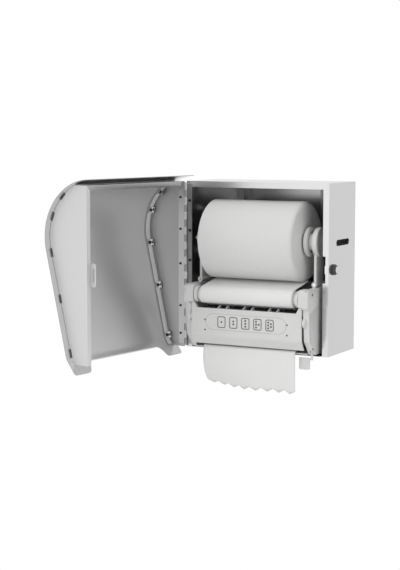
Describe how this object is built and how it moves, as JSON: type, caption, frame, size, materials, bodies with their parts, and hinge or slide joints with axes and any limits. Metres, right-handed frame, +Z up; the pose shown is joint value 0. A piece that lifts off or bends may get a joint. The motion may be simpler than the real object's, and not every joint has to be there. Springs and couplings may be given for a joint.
{
  "type": "autocut towel dispenser",
  "caption": "Wall cabinet with a curved hinged cover, a towel roll on sprung arms, and a module that feeds and cuts the towel.",
  "frame": {"origin": "middle of the four wall holes, on the cabinet's back face", "axes": "+Z up, +X to the right seen from the front, +Y into the wall"},
  "size_m": [0.4477, 0.4566, 0.4154],
  "materials": {
    "steel_sheet": "satin brushed",
    "dull_steel": "plain mill",
    "bright_steel": "polished",
    "white_plastic": "moulded satin",
    "grip_rubber": "matt",
    "towel_paper": "embossed",
    "card_core": "matt"
  },
  "bodies": {
    "cabinet": {"cabinet_shell": "steel_sheet", "back_rails": "dull_steel", "hinge_leaf_fixed": "dull_steel", "hinge_pin": "bright_steel", "leaf_screws": "dull_steel", "lock_barrel": "bright_steel", "lock_nut": "dull_steel", "latch_housing": "dull_steel", "module_back_plate": "white_plastic", "left_frame": "white_plastic", "right_frame": "white_plastic", "left_side_cover": "white_plastic", "right_side_cover": "white_plastic", "side_cover_screws": "dull_steel", "front_cover": "white_plastic", "cover_screws": "dull_steel", "guide_comb": "white_plastic", "exit_guide": "white_plastic", "left_arm": "white_plastic", "left_hub": "white_plastic", "left_arm_pin": "bright_steel", "right_arm_pin": "bright_steel", "idler_axle": "bright_steel", "drum_bushes": "dull_steel", "return_spring": "bright_steel", "spring_posts": "bright_steel", "pinch_bearings": "dull_steel", "lever_pin": "bright_steel", "lever_spring": "bright_steel", "paper_web": "towel_paper", "towel_tail": "towel_paper"},
    "cover": {"front_wrap": "steel_sheet", "hinge_cheek": "steel_sheet", "free_cheek": "steel_sheet", "cover_top": "steel_sheet", "hinge_leaf_cover": "dull_steel", "leaf_rivets": "dull_steel", "wrap_clips": "bright_steel", "clip_screws": "dull_steel", "latch_tongue": "bright_steel"},
    "lock": {"lock_plug": "bright_steel"},
    "latch": {"latch_bolt": "bright_steel"},
    "right_arm": {"right_arm": "white_plastic", "right_hub": "white_plastic"},
    "roll": {"towel_roll": "towel_paper", "roll_core": "card_core"},
    "idler": {"idler_roller": "white_plastic"},
    "drum": {"drum_body": "white_plastic", "grip_bands": "grip_rubber", "drum_caps": "white_plastic", "drum_shaft": "bright_steel", "return_crank": "dull_steel"},
    "knife": {"blade_carrier": "dull_steel", "cutter_blade": "bright_steel"},
    "pinch": {"pinch_rollers": "grip_rubber", "pinch_shaft": "bright_steel"},
    "lever": {"feed_lever": "white_plastic"},
    "pinion": {"clutch_pinion": "dull_steel"}
  },
  "joints": [
    {"name": "cover_hinge", "type": "hinge", "parent": "cabinet", "child": "cover", "pos_m": [-0.1552, -0.1345, 0], "axis": [0, 0, 1], "range_deg": [-33, 97]},
    {"name": "lock_turn", "type": "hinge", "parent": "cabinet", "child": "lock", "pos_m": [0.155, -0.107, -0.062], "axis": [1, 0, 0], "range_deg": [0, 90]},
    {"name": "latch_slide", "type": "slide", "parent": "cabinet", "child": "latch", "axis": [-1, 0, 0], "range_m": [0, 0.006]},
    {"name": "arm_swing", "type": "hinge", "parent": "cabinet", "child": "right_arm", "pos_m": [0.1245, -0.11, -0.091], "axis": [0, 1, 0], "range_deg": [0, 6.5], "stiffness_Nm_per_rad": 1.5, "springref_deg": -8.59},
    {"name": "drum_turn", "type": "hinge", "parent": "cabinet", "child": "drum", "pos_m": [0, -0.128, -0.178], "axis": [1, 0, 0], "continuous": true, "deforming": ["return_spring"]},
    {"name": "roll_turn", "type": "hinge", "parent": "cabinet", "child": "roll", "pos_m": [0, -0.11, -0.0095], "axis": [1, 0, 0], "continuous": true},
    {"name": "idler_turn", "type": "hinge", "parent": "cabinet", "child": "idler", "pos_m": [0, -0.165, -0.1165], "axis": [1, 0, 0], "continuous": true},
    {"name": "pinch_turn", "type": "hinge", "parent": "cabinet", "child": "pinch", "pos_m": [0, -0.09759, -0.14759], "axis": [1, 0, 0], "continuous": true},
    {"name": "knife_slide", "type": "slide", "parent": "drum", "child": "knife", "axis": [0, 0.5736, -0.8192], "range_m": [-0.012, 0]},
    {"name": "lever_push", "type": "hinge", "parent": "cabinet", "child": "lever", "pos_m": [0.1295, -0.14847, -0.20292], "axis": [1, 0, 0], "range_deg": [0, 25], "stiffness_Nm_per_rad": 0.05, "springref_deg": -17.19, "deforming": ["lever_spring"]},
    {"name": "pinion_turn", "type": "hinge", "parent": "cabinet", "child": "pinion", "pos_m": [0.1295, -0.128, -0.178], "axis": [1, 0, 0], "range_deg": [-52, 0]}
  ],
  "couplings": [
    {"joint": "latch_slide", "follows": "lock_turn", "m_per_rad": 0.0038},
    {"joint": "roll_turn", "follows": "drum_turn", "ratio": 0.43312},
    {"joint": "idler_turn", "follows": "drum_turn", "ratio": -2.0606},
    {"joint": "pinch_turn", "follows": "drum_turn", "ratio": -4.25},
    {"joint": "pinion_turn", "follows": "lever_push", "ratio": -2.0714}
  ]
}
